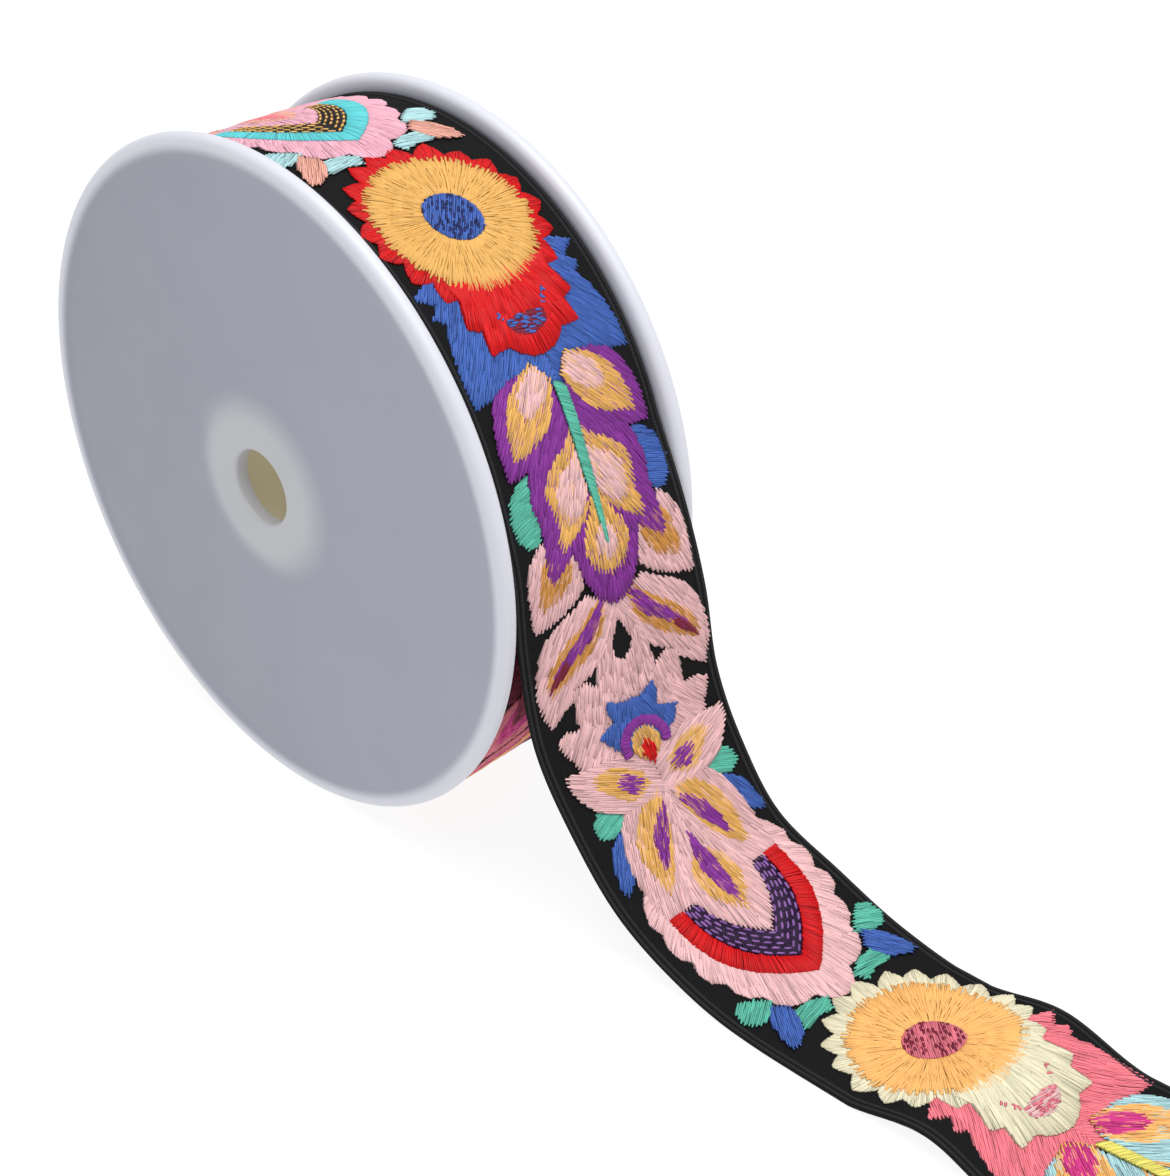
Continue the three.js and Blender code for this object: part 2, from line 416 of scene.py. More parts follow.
def unit(angle):
    """The points of a circle of radius 1 at some angles."""
    return np.stack([np.cos(angle), np.sin(angle)], axis=-1)


def run_lengths(curve):
    """The length from a curve's start to each of its points."""
    steps = np.linalg.norm(np.diff(curve, axis=0), axis=1)
    return np.concatenate([[0], np.cumsum(steps)])


def at_lengths(curve, lengths, wanted):
    """The points of a curve at the wanted lengths along it."""
    return np.stack([np.interp(wanted, lengths, column) for column in curve.T], axis=-1)


def headings(start, end):
    """The directions from starts to ends, each of length 1."""
    ahead = end - start
    return ahead / np.maximum(np.linalg.norm(ahead, axis=1), 1e-6)[:, None]


def divided(lengths, longest):
    """Cuts stitches into equal parts. Gives each part's stitch, its number in it, and how many
    parts that stitch has."""
    parts = np.maximum(1, np.ceil(lengths / longest)).astype(int)
    which = np.repeat(np.arange(len(parts)), parts)
    number = np.arange(len(which)) - np.repeat(np.cumsum(parts) - parts, parts)
    return which, number, parts[which]


# Meshes


def new_object(name, data):
    """An object with this mesh, light or camera, linked to the scene."""
    made = bpy.data.objects.new(name, data)
    bpy.context.scene.collection.objects.link(made)
    return made


def mesh_object(name, points, polygon_groups, material):
    """A mesh object from points in metres and arrays of polygons, each array with its own number
    of corners. It rides on the spool's body and takes the named finish."""
    mesh = bpy.data.meshes.new(name)
    corners = [np.asarray(group).reshape(-1) for group in polygon_groups]
    sizes = [np.full(len(group), group.shape[1]) for group in polygon_groups]
    corner_list = np.concatenate(corners).astype(np.int32)
    totals = np.concatenate(sizes)
    starts = np.concatenate([[0], np.cumsum(totals)[:-1]]).astype(np.int32)
    mesh.vertices.add(len(points))
    mesh.vertices.foreach_set("co", np.asarray(points, np.float32).reshape(-1))
    mesh.loops.add(len(corner_list))
    mesh.loops.foreach_set("vertex_index", corner_list)
    mesh.polygons.add(len(totals))
    mesh.polygons.foreach_set("loop_start", starts)
    mesh.update(calc_edges=True)
    mesh.validate()
    mesh.polygons.foreach_set("use_smooth", np.ones(len(totals), bool))
    mesh.materials.append(material)
    piece = new_object(name, mesh)
    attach(piece, BODY)
    return piece


def grid_quads(rows, columns, close_rows=False, close_columns=False):
    """Quads of a grid whose point (i, j) has the number i * columns + j, joined round where told.
    They face along the cross product of the columns' direction with the rows' direction."""
    i = np.arange(rows if close_rows else rows - 1)[:, None]
    j = np.arange(columns if close_columns else columns - 1)[None, :]
    next_i = (i + 1) % rows
    next_j = (j + 1) % columns
    quads = [i * columns + j, i * columns + next_j, next_i * columns + next_j, next_i * columns + j]
    return np.stack([np.broadcast_to(q, (i.size, j.size)) for q in quads], axis=-1).reshape(-1, 4)


def round_axle(axle, radius, angle, height):
    """Points round the axle: at angle t they lie at radius * (sin t, cos t) in X and Z, and their
    height goes along Y."""
    x = axle[0] + radius * np.sin(angle)
    z = axle[2] + radius * np.cos(angle)
    return np.stack([x, axle[1] + height + 0 * angle, z], axis=-1).reshape(-1, 3)


def turned(profile, sides, axle, facing):
    """A closed profile of (radius, height) rows turned round the axle, its height going outwards
    where facing points."""
    angle = np.linspace(0, math.tau, sides, endpoint=False)[:, None]
    radius, height = np.asarray(profile).T
    points = round_axle(axle, radius, angle, facing * height)
    quads = grid_quads(sides, len(radius), close_rows=True, close_columns=True)
    return points, quads if facing < 0 else quads[:, ::-1]


def arc(centre, radius, start, end, steps):
    """Points of a circle's arc in a section, from one angle to another, in degrees."""
    return centre + radius * unit(np.radians(np.linspace(start, end, steps)))


def eased(start, end, steps):
    """Points from start to end in a section whose height follows half a cosine wave."""
    t = np.linspace(0, 1, steps)
    rise = (1 - np.cos(np.pi * t)) / 2
    return np.stack([start[0] + (end[0] - start[0]) * t, start[1] + (end[1] - start[1]) * rise], axis=-1)


def smooth_path(points, count):
    """A Catmull-Rom curve through the points, with count samples, as an array of rows."""
    points = np.asarray(points, float)
    ends = np.vstack([2 * points[0] - points[1], points, 2 * points[-1] - points[-2]])
    place = np.linspace(0, len(points) - 1, count)
    step = np.minimum(place.astype(int), len(points) - 2)
    t = (place - step)[:, None]
    before, start, end, after = (ends[step + k] for k in range(4))
    leaving = (end - before) / 2
    arriving = (after - start) / 2
    return (
        start * (2 * t**3 - 3 * t**2 + 1)
        + leaving * (t**3 - 2 * t**2 + t)
        + end * (3 * t**2 - 2 * t**3)
        + arriving * (t**3 - t**2)
    )


# The trim's path

FoldRow = namedtuple("FoldRow", "forward back up twist")
LOOSE_END = [
    FoldRow(81.5, 0, 91.5, 4),
    FoldRow(86, 0, 71.5, 11),
    FoldRow(90.5, 0, 51, 11.5),
    FoldRow(98.5, 2, 32, 9),
    FoldRow(111, 3.5, 15.5, 7),
    FoldRow(129.5, 5, 6, 8.5),
    FoldRow(149.5, 5, 2, 3.5),
    FoldRow(170.5, 6, 0.5, 0),
    FoldRow(191, 7, 5, -0.5),
    FoldRow(211.5, 7, 0.5, 1),
    FoldRow(232, 9.5, 0.5, 0),
]
SHOWN_TURNS = 1.016
SAMPLES_PER_TURN = 1000
SAMPLES_PER_ROW = 60


def axle_place():
    """The middle of the axle, in metres."""
    low, high = FLANGE_BOX
    radius = (high.x - low.x) / 2
    middle = (low.y + BACK_FLANGE_BOX[1].y) / 2
    return np.array([(low.x + high.x) / 2, middle, high.z - radius])


class Strip:
    """The trim's path as a table: along it, the middle of the trim, the direction across and the
    outward normal. The last turn on the roll is a spiral with a slack stretch, and the loose end
    follows the fold rows."""

    def __init__(self, trim):
        self.half_thickness = trim.half_thickness / MM
        axle = axle_place() / MM
        turn = np.linspace(-SHOWN_TURNS, 0, int(SHOWN_TURNS * SAMPLES_PER_TURN) + 1)
        angle = trim.leaving_angle + math.tau * turn
        off = (np.mod(angle, math.tau) - trim.slack_angle) / trim.slack_spread
        slack = trim.slack_depth / MM * np.cos(np.clip(off, -1, 1) * np.pi / 2) ** 2
        radius = (trim.roll_radius + trim.turn_pitch * turn) / MM + slack - self.half_thickness
        wound = np.stack(
            [radius * np.sin(angle), 0 * angle, axle[2] + radius * np.cos(angle), 0 * angle], axis=-1
        )
        rows = np.vstack([wound[-1], np.array(LOOSE_END, float)])
        loose = smooth_path(rows, SAMPLES_PER_ROW * (len(rows) - 1) + 1)
        path = np.vstack([wound[:-1], loose])
        self.middle = path[:, :3] + [axle[0], axle[1], 0]
        twist = np.radians(path[:, 3])[:, None]
        ahead = np.gradient(self.middle, axis=0)
        ahead /= np.linalg.norm(ahead, axis=1)[:, None]
        outward = np.stack([-ahead[:, 2], 0 * ahead[:, 0], ahead[:, 0]], axis=-1)
        outward /= np.linalg.norm(outward, axis=1)[:, None]
        self.across = np.sin(twist) * outward + np.cos(twist) * [0, 1, 0]
        normal = np.cross(ahead, self.across)
        self.normal = normal / np.linalg.norm(normal, axis=1)[:, None]
        lengths = run_lengths(self.middle)
        self.along = lengths - lengths[len(wound) - 1]

    def place(self, s, v, height):
        """Points in metres at s along, v across and height over the middle of the thickness."""
        middle, across, normal = (
            at_lengths(table, self.along, s) for table in (self.middle, self.across, self.normal)
        )
        points = middle + across * np.asarray(v)[..., None]
        points[..., 2] = np.maximum(points[..., 2], self.half_thickness)
        points += normal * np.asarray(height)[..., None]
        points[..., 2] = np.maximum(points[..., 2], 0)
        return points * MM


# Stitches

LONGEST_STITCH = 7.5
LONGEST_IN_PATCH = 5.5
SHORTEST_STITCH = 0.6
FLECK_LENGTH = 2.3
LAYER_STEP = 0.1
RISE = 0.27
RISE_PER_LENGTH = 0.014
TIP_LENGTH = 0.3
SUNK_TIP = 0.05
LONGEST_TIP_SHARE = 0.25
OVERLAP = 0.45
SPLIT_SPREAD = 0.8
PLACE_SPREAD = 0.05
WIDTH_RANGE = (0.9, 1.1)
RISE_SPREAD = 0.02
BOW_SPREAD = 0.06
SELVEDGE_CLEARANCE = 0.6
START_CLEARANCE = 9
END_CLEARANCE = 0.4
FULL_SHADE = (0.5, 1.0)
# The underlay's darker shade range is painted shade in the gaps between the stitches over it
UNDERLAY_SHADE = (0.3, 0.55)
DISC_SHADE = (0.62, 0.84)
DIM_SHARE = 0.1
DIM_DEPTH = 0.7
UNDERLAY_PITCH = 1.0
UNDERLAY_WIDTH = 1.5
UNDERLAY_DEPTH = 1.5
RAY_INSET = 0.5
PATCH_INSET = 0.45
PATCH_SPREAD = 0.35
STAGGER = (-0.35, 0.45)
PLAIN_RAGGED = 0.7
RAGGED = {"edge": 0.9, "middle": 1.4, "core": 1.4}
DRIFT = ([-120, -60, -20, 30, 230], [-1.7, -0.9, 0.2, 1.0, 1.2])
WIDTHS = np.array([0.92, 1.0, 0.92])
LIFTS = np.array([0.8, 1.0, 0.8])
FLANK_DROP = 0.62
STEEP_WIDTH = 0.3
STITCH_POINTS = 11
STITCH_TIPS = [(0, 2, 1), (0, 3, 2), (0, 1, 3), (7, 8, 10), (8, 9, 10), (9, 7, 10)]
STITCH_SIDES = [
    (first + a, first + b, first + b + 3, first + a + 3)
    for first in (1, 4)
    for a, b in ((0, 1), (1, 2), (2, 0))
]


class Threads:
    """Collects stitches by thread colour, then turns each colour into one mesh."""

    def __init__(self, strip, trim, seed_shift):
        self.strip = strip
        self.pitch = trim.thread_pitch / MM
        self.width = trim.thread_width / MM
        self.ground = (trim.cloth_thickness - trim.half_thickness) / MM
        self.half_width = trim.width / MM / 2 - SELVEDGE_CLEARANCE
        self.random = np.random.default_rng(trim.seed + seed_shift)
        self.stitches = {}

    def start_repeat(self, number):
        self.number = number
        self.origin = FIRST_SUNFLOWER + number * REPEAT

    def add(self, role, start, end, layer, width=None, shade=FULL_SHADE):
        """Adds stitches between two arrays of (along, across) places within the repeat. Those past
        the selvedges' inner edges are cut short, and very short ones are left out."""
        ends = []
        jitter = self.random.normal(0, PLACE_SPREAD, (2, len(start), 2))
        for places, slip in zip((start, end), jitter):
            places = places + slip + [self.origin, 0]
            places[:, 1] += np.interp(places[:, 0], *DRIFT)
            places[:, 1] = np.clip(places[:, 1], -self.half_width, self.half_width)
            ends.append(places)
        start, end = ends
        first, last = self.strip.along[0] + START_CLEARANCE, self.strip.along[-1] - END_CLEARANCE
        keep = (np.minimum(start[:, 0], end[:, 0]) > first) & (np.maximum(start[:, 0], end[:, 0]) < last)
        keep &= np.linalg.norm(end - start, axis=1) > SHORTEST_STITCH
        start, end = start[keep], end[keep]
        count = len(start)
        length = np.minimum(np.linalg.norm(end - start, axis=1), LONGEST_STITCH)
        dim = DIM_DEPTH * (shade[1] - shade[0]) * (self.random.random(count) < DIM_SHARE)
        widths = np.full(count, width or self.width) * self.random.uniform(*WIDTH_RANGE, count)
        rises = RISE + RISE_PER_LENGTH * length + self.random.normal(0, RISE_SPREAD, count)
        bows = self.random.normal(0, BOW_SPREAD, count)
        shades = self.random.uniform(*shade, count) - dim
        base = np.full(count, layer * LAYER_STEP)
        rows = np.column_stack([start, end, widths, rises, base, bows, shades])
        if count:
            colour = ROLE_THREADS[role].split()[self.number]
            self.stitches.setdefault(colour, []).append(rows)

    def add_split(self, role, start, end, layer, longest=LONGEST_STITCH, width=None, shade=FULL_SHADE):
        """Adds stitches, and cuts those over the longest length into equal parts that overlap."""
        length = np.linalg.norm(end - start, axis=1)
        which, number, total = divided(length, longest)
        slide = (self.random.random(len(start)) - 0.5)[which] * SPLIT_SPREAD
        overlap = OVERLAP / np.maximum(length[which], 1)
        low = np.where(number == 0, 0, (number + slide) / total - overlap)[:, None]
        high = np.where(number == total - 1, 1, (number + 1 + slide) / total + overlap)[:, None]
        way = (end - start)[which]
        self.add(role, start[which] + way * low, start[which] + way * high, layer, width, shade)

    def add_underlay(self, role, start, end, layer):
        """Wide threads that keep the cloth from showing between the stitches over them. They are darker
        as painted shade in the gaps between those stitches.
        """
        below = layer - UNDERLAY_DEPTH
        self.add_split(role, start, end, below, width=UNDERLAY_WIDTH, shade=UNDERLAY_SHADE)

    def fill_between(
        self, role, near, far, layer, ragged=0.3, longest=LONGEST_STITCH, shade=FULL_SHADE
    ):
        """Rays from one open curve to another over their underlay, paired by their share of the
        way along, and evenly spaced along the far curve."""
        curves = [np.asarray(curve, float) for curve in (near, far)]
        lengths = [run_lengths(curve) for curve in curves]

        def rays(pitch):
            share = np.linspace(0, 1, max(2, round(lengths[1][-1] / pitch)))
            start, end = (at_lengths(curve, way, share * way[-1]) for curve, way in zip(curves, lengths))
            return start, end, headings(start, end)

        start, end, ahead = rays(UNDERLAY_PITCH)
        self.add_underlay(role, start, end - ahead * RAY_INSET, layer)
        start, end, ahead = rays(self.pitch)
        start = start - ahead * self.random.random((len(start), 1)) * ragged
        end = end + ahead * (self.random.random((len(start), 1)) - 0.5) * ragged
        self.add_split(role, start, end, layer, longest, shade=shade)

    def hatch(self, outline, degrees, pitch):
        """The start and end of parallel threads at an angle that fill a closed outline: each
        thread's line meets the outline's edges in pairs of places."""
        cosine, sine = math.cos(math.radians(degrees)), math.sin(math.radians(degrees))
        turn = np.array([[cosine, -sine], [sine, cosine]])
        corners = np.asarray(outline, float) @ turn
        following = np.roll(corners, -1, axis=0)
        levels = np.arange(corners[:, 1].min() + pitch / 2, corners[:, 1].max(), pitch)[:, None]
        low, high = corners[:, 1], following[:, 1]
        crossed = (low <= levels) != (high <= levels)
        rise = np.where(high == low, 1, high - low)
        meet = corners[:, 0] + (levels - low) / rise * (following[:, 0] - corners[:, 0])
        meet = np.sort(np.where(crossed, meet, np.inf), axis=1)
        pairs = meet[:, : 2 * (meet.shape[1] // 2)].reshape(len(levels), -1, 2)
        line, pair = np.nonzero(np.isfinite(pairs[:, :, 1]))
        return [
            np.stack([place, levels[line, 0]], axis=-1) @ turn.T for place in pairs[line, pair].T
        ]

    def fill_patch(self, role, outline, degrees, layer, ragged=PLAIN_RAGGED):
        """Parallel threads that fill a closed outline with ragged ends, over an underlay that
        stops short of it."""
        start, end = self.hatch(outline, degrees, UNDERLAY_PITCH)
        inset = headings(start, end) * PATCH_INSET
        self.add_underlay(role, start + inset, end - inset, layer)
        start, end = self.hatch(outline, degrees, self.pitch)
        ahead = headings(start, end)
        stagger = np.where(np.arange(len(start)) % 2, STAGGER[1], STAGGER[0])[:, None]
        slips = self.random.uniform(-PATCH_SPREAD, PATCH_SPREAD, (2, len(start), 1))
        start = start - ahead * (stagger + slips[0]) * ragged
        end = end + ahead * (slips[1] - stagger + 0.1) * ragged
        self.add_split(role, start, end, layer, LONGEST_IN_PATCH)

    def speckle(self, outline, degrees, layer, share, roles):
        """A patch of short parallel stitches, a share of them in a second colour."""
        self.fill_patch(roles[0], outline, degrees, layer - 1, ragged=0)
        start, end = self.hatch(outline, degrees, self.pitch * 1.2)
        way = end - start
        which, number, total = divided(np.linalg.norm(way, axis=1), FLECK_LENGTH)
        shift = np.where(which % 2, 0.5, 0.0) / total
        first, second = (
            start[which] + way[which] * np.clip(part / total - shift, 0, 1)[:, None]
            for part in (number, number + 1)
        )
        flecked = self.random.random(len(which)) < share
        self.add(roles[1], first[flecked], second[flecked], layer + 0.6, self.width * 1.15)

    def points(self, rows):
        """Each stitch as eleven points: a tip, three sections of left, top and right, and a tip.
        The sections bow up and a little sideways, and the tips dive between their neighbours."""
        start, end = rows[:, 0:2], rows[:, 2:4]
        width, rise, base, bow = rows[:, 4:8].T
        way = end - start
        length = np.linalg.norm(way, axis=1)[:, None]
        side = np.stack([-way[:, 1], way[:, 0]], axis=-1) / length
        tip = np.minimum(TIP_LENGTH / length, LONGEST_TIP_SHARE)
        stations = np.concatenate([0 * tip, tip, 0 * tip + 0.5, 1 - tip, 0 * tip + 1], axis=1)
        centre = start[:, None] + way[:, None] * stations[:, :, None]
        centre[:, 2] += side * bow[:, None]
        top = np.full((len(rows), 5), -SUNK_TIP) + base[:, None]
        top[:, 1:4] = base[:, None] + rise[:, None] * LIFTS
        top += self.ground
        half = width[:, None] / 2 * WIDTHS
        sections = centre[:, 1:4, None] + side[:, None, None] * (
            half[:, :, None, None] * np.array([1, 0, -1])[None, None, :, None]
        )
        drop = np.minimum(half, STEEP_WIDTH) * FLANK_DROP
        heights = top[:, 1:4, None] - drop[:, :, None] * np.array([1.0, 0, 1.0])
        flat = np.concatenate([centre[:, :1], sections.reshape(len(rows), 9, 2), centre[:, 4:]], axis=1)
        height = np.concatenate([top[:, :1], heights.reshape(len(rows), 9), top[:, 4:]], axis=1)
        return self.strip.place(flat[..., 0], flat[..., 1], height).reshape(-1, 3)

    def build(self, motif, colours):
        """Makes one mesh for each thread colour of a motif, named after both."""
        for colour, lists in sorted(self.stitches.items()):
            rows = np.vstack(lists)
            offsets = STITCH_POINTS * np.arange(len(rows))[:, None, None]
            polygons = [
                (np.array(group) + offsets).reshape(-1, len(group[0]))
                for group in (STITCH_TIPS, STITCH_SIDES)
            ]
            material = bpy.data.materials.get("thread_" + colour)
            material = material or thread_finish(colour, getattr(colours, colour))
            piece = mesh_object(f"{motif}.{colour}", self.points(rows), polygons, material)
            shades = np.repeat(rows[:, 8], STITCH_POINTS).astype(np.float32)
            piece.data.attributes.new("shade", "FLOAT", "POINT").data.foreach_set("value", shades)


# Motifs of the repeat, in millimetres from the middle of its sunflower. Places across are given
# for the back half of the trim, and the front half mirrors them.

REPEAT = 227
REPEATS = 4
FIRST_SUNFLOWER = -511

# The thread of each role in the four repeats, from the start of the shown trim to its cut end
ROLE_THREADS = {
    "petal": "candy magenta red cream",
    "disc": "yellow yellow gold orange",
    "centre": "navy maroon blue rose",
    "fleck": "turquoise coral navy maroon",
    "blossom": "candy magenta red cream",
    "blossom_ground": "candy magenta maroon pale_pink",
    "blossom_fleck": "maroon yellow blue rose",
    "calyx": "turquoise mint blue coral",
    "stem": "mint turquoise mint yellow",
    "leaf_core": "orange cream pale_pink magenta",
    "leaf_middle": "magenta peach gold orange",
    "leaf_edge": "maroon coral violet aqua",
    "outer_vein": "orange magenta maroon magenta",
    "outer_core": "orange coral violet magenta",
    "outer_middle": "magenta peach amber orange",
    "outer_edge": "rose candy pale_pink aqua",
    "bud_front": "maroon aqua mint coral",
    "bud_back": "aqua peach blue mint",
    "crown": "aubergine candy pale_pink aqua",
    "teeth": "maroon turquoise blue coral",
    "ring": "magenta magenta violet magenta",
    "heart_ground": "orange yellow gold orange",
    "heart": "red red red red",
    "petal_core": "magenta coral violet magenta",
    "petal_middle": "orange peach gold orange",
    "petal_edge": "coral candy pale_pink aqua",
    "arch": "maroon black aubergine maroon",
    "dash": "orange gold lilac orange",
    "band": "yellow turquoise red magenta",
    "scallop": "cream candy pale_pink cream",
    "leaflet_near": "mint aqua mint mint",
    "leaflet_far": "blue peach blue coral",
}

Sunflower = namedtuple("Sunflower", "petals valley tip disc spike centre squash")
SUNFLOWER = Sunflower(petals=20, valley=20.4, tip=24.6, disc=18, spike=2.4, centre=6.8, squash=0.94)
PETAL_SAMPLES = 31
PETAL_POWER = 0.62
PETAL_OVERLAP = 1.1
PETAL_TURN_SPREAD = 0.02
PETAL_TIP_SPREAD = 0.4
DISC_COVER = 3
DISC_CROWDING = 1.25
DISC_TURN_SPREAD = 0.004
UNDER_DISC_RINGS = (5.6, 9.4, 13.2)
UNDER_DISC_REACH = 4.6
GOLDEN_SHARE = 0.618034


def outline(text):
    """Places as an array, from a text of along,across pairs."""
    return np.array([pair.split(",") for pair in text.split()], float)


Patch = namedtuple("Patch", "role degrees layer outline")
MIDDLE_LAP = 0.3
CALYX = [
    Patch("calyx", 38, 0, """
        9,14 12,18 14.5,22.8 17.5,18.4 19.8,21.2 22,18.6 25,20.4 30,21.9 35,22.6 40.4,22.5 39.8,17.5
        38.8,13 38.2,8 38,5 42.5,1.6 42.8,0 30,0 20,4"""),
]
BLOSSOM_ROOT = outline("14.5,13.8 14.5,0")
BLOSSOM = outline("14.5,13.8 19.5,12.6 24.9,15 26.4,11.6 31.7,12.7 31.4,7.8 33.6,5.4 34.9,2.8 35.4,0")
BLOSSOM_CORNER = outline("21.6,7.6 24.4,5.4 26,5.2 25.4,6.8 22.4,8.8")
CRESCENT = outline("26.2,5.6 28.6,5.2 29.9,3 30.4,0")
CRESCENT_BACK = outline("25.6,0 25.7,3 26.2,5.6")
SPRAY = [
    Patch("outer_edge", 33, 1, """
        90,2 89.5,5 88,7.4 90.3,11.5 92.2,15.2 94.6,18.6 98,21 103,22.7 108,23.2 112,22.3 115.8,20.8
        113.4,17.6 111.5,14.6 109,13.6 107,9 103,5 97,2.4 93,0.6"""),
    Patch("outer_middle", 36, 2, """
        90.5,5.4 93.5,8.6 96.2,12.6 99.3,16.6 102.5,19.4 106,20.6 108.2,19 106,15.2 103.8,11 101,7.4
        98,4.8 94.5,3.6 91,3"""),
    Patch("outer_core", 40, 3, """
        90,3.2 95,4.6 98,7 100.5,10.6 103,14.4 106.4,18.2 104,18.2 101,15.8 98,12.2 95,8.8 91.6,5.8"""),
    Patch("outer_vein", 42, 4, """
        102.2,13.6 104.4,15.4 107,18.6 108.2,20.4 105.4,18.8 102.6,16.6 101,14.8"""),
    Patch("outer_edge", 20, 1, """
        72,15 72.6,17.6 74.3,19.6 77.5,21.4 82,22.3 87,22 92.2,21.7 92.3,19.6 91.3,16 89.8,12.5 88,9.6
        86,7.9 82,7.2 77,8 74,12"""),
    Patch("outer_middle", 24, 2, """
        75,16.4 78.5,18.4 82,18.9 85.8,19.8 87.4,18.4 86.8,15.4 85.2,12.6 82.5,10.4 79,9.6 76,12"""),
    Patch("leaf_edge", 27, 3, """
        52,1.2 53.6,7 55,14 59.6,16 64,16.8 68,15.8 71,16 74.5,16.4 80,16.8 82.4,15.6 80.2,12.6 78.2,10
        76.4,8 74.6,4.4 70,1.2"""),
    Patch("leaf_middle", 30, 4, """
        51.4,1.2 54.4,4 56.2,7.2 58.6,10.4 62,12.8 66,12 69.5,11.2 73,12.2 76,11.8 75.2,9 73.2,6.4
        71.4,4 68,1.6"""),
    Patch("leaf_core", 27, 5, "56,1.2 58.6,4.5 60.3,8 63.5,10 67.5,10 70,8.5 70.8,6 69.5,4 66,1.4"),
    Patch("leaf_edge", 8, 5, "73,3.4 74.2,8.4 75.4,9.5 78,9 82,8.1 86,6.7 89.5,4.7 91.8,2 92.3,0 74,0"),
    Patch("leaf_middle", 0, 6, "66,0.6 70,2.6 73.4,4.6 75,5.7 78,6.3 81.5,5.1 84,3 85.2,0 66,0"),
    Patch("leaf_core", 0, 7, "73.6,0 75,2.2 77,2.9 80,2.7 82.3,0"),
    Patch("leaf_edge", 40, 3, """
        37,6 37.4,12 38.8,15.8 41.4,18.4 45.4,20.2 50.5,21.2 57,21 56.8,17 55.8,12 55.2,8.5 54.6,5.5
        53.5,1 46,1 40,2"""),
    Patch("leaf_middle", 42, 4, """
        36,5 37.6,9.5 39.5,12.8 42.5,15.5 46.5,17.2 50.5,18 53.6,17.8 53.2,14.5 51.8,10.5 50,7 47.4,4.6
        44.4,3 41,1.6"""),
    Patch("leaf_core", 38, 5, """
        36.6,4.8 38.2,8.6 40.5,11.4 43.5,12.4 46.2,11.8 46.2,9 44.8,6.2 42.5,3.6 40,2.2"""),
]
BUD = outline("57,14.6 58.2,19.2 61,22 65.5,22.9 69.5,22.3 72.4,19.8 72.2,17 69.5,15.2 65,14.8 61,14.6")
STEM_START = 41.5
STEM_END = 76.5
STEM_HALF = 1.35
CROWN = [
    Patch("crown", 6, 0, """
        92,0 91,2.6 95,4 98,5.4 101.4,7.6 106.4,6.9 110.3,7.6 113,7.4 119,7 119,0 106.6,0 104.6,2.4
        101.6,2.5 97,0.4 96.6,0"""),
    Patch("crown", 14, 1, """
        113,5.6 110.2,8 108.2,10.5 108.4,13.4 110.2,14 117.8,14.3 121,12.8 124,9.5 121,5 117,4.6"""),
    Patch("crown", 40, 2, """
        117,12 118.2,14.5 117.6,17.5 119.2,20.8 122,19.7 124.6,18.3 128,17.2 131,12 132,4 127,3 122,8"""),
]
PALMETTE = [
    Patch("petal_edge", 22, 3, """
        137,0 138.4,6 140,11.5 143.4,14.6 147.5,16.2 152,17.3 157,17.8 162,17.6 166.6,17.4 166.6,8.4
        160,6.5 152,2.5 146,0"""),
    Patch("petal_middle", 24, 4, """
        139.3,2.2 140.9,7.5 144,10.5 147.5,12.9 152,13.9 156.5,13.3 161.4,12.8 160.6,10.4 157.5,7.9
        153.5,5.3 149,3.5 144,2"""),
    Patch("petal_core", 26, 5, """
        142.4,1.8 145,5.7 148,8.4 152,9.6 156.8,10.4 156.6,8.8 153,6.5 149.5,4.3 146,3"""),
    Patch("petal_edge", 8, 3.5, """
        142,0 148,1.6 152,3.2 158,6.4 164,8.5 167,8.8 171,8 175,6.1 179,2.9 182,0"""),
    Patch("petal_middle", 10, 4.5, "156,0 157,2.3 160,4.9 163.5,5.7 167,5.2 170.5,3.4 174.4,0"),
    Patch("petal_core", 4, 5.5, "151.6,0 154.5,0.9 157,1.6 160,2.5 164,2.2 168,1.7 172,0"),
    Patch("petal_edge", 118, 4, """
        127,21.6 130.5,21.9 134,20.3 137,18.1 139.3,14.8 140.7,11.5 141,5 141,0 130,0 128.5,6 127.6,12
        127.4,17"""),
    Patch("petal_middle", 118, 5, """
        130,15.6 132.7,15.6 135.6,13 139,9.6 138.5,5.5 136.8,2.8 134,3.4 131.2,7.3 129.3,11.5"""),
    Patch("petal_core", 112, 6, """
        132.3,8.2 133.2,10.9 135.4,10.3 137.8,8.2 137.3,5.2 135.4,4.1 133.4,6"""),
    Patch("teeth", 24, 7, """
        128.6,0 116,0 116.2,2.4 114.1,6.1 117,6.8 120.2,5.8 120.7,8.2 122.2,10.6 125.2,9 127.4,6.4
        128.6,3"""),
]
HEART = outline("126,0 127.6,1.3 129.6,1.9 131.4,1.4 133.4,0")
HEART_MIDDLE = 127.4
LEAFLETS = [
    Patch("leaflet_near", 70, 0, "137.5,18.2 140,20.6 143,20.6 144.6,17.6 143,13.4 141,11 138.6,13.4"),
    Patch("leaflet_far", 28, 1, """
        143.6,15.2 146.3,18.6 150.4,20.8 155.5,22 157,20.9 155.5,18.4 150,15.4 146,14"""),
    Patch("leaflet_near", 60, 4, """
        189.4,19.8 191.4,22.8 194.8,23.4 197.4,21 196.8,17.4 194.2,13.8 191.4,16.8"""),
    Patch("leaflet_far", 36, 5, """
        194.8,15.6 198.3,18.9 203,21 206.4,21.6 206.8,19.6 204.7,15.6 201.2,13.4 198.2,12.6"""),
    Patch("leaflet_near", 80, 4, "199.6,13.6 204.6,15.2 204,10.4 205,6 202,4.4 199.8,8"),
]
ARCH_START = 166
ARCH_CURVES = {"inner": (15.9, 8.7, 1.9), "middle": (24.6, 12.7, 2.6), "outer": (30.2, 17.2, 2.8)}
DASH_LINES = 5
DASH_STEP = 2.8
DASH_LENGTH = 2.2
BORDER_ROOT = outline("156,14 161,15.6")
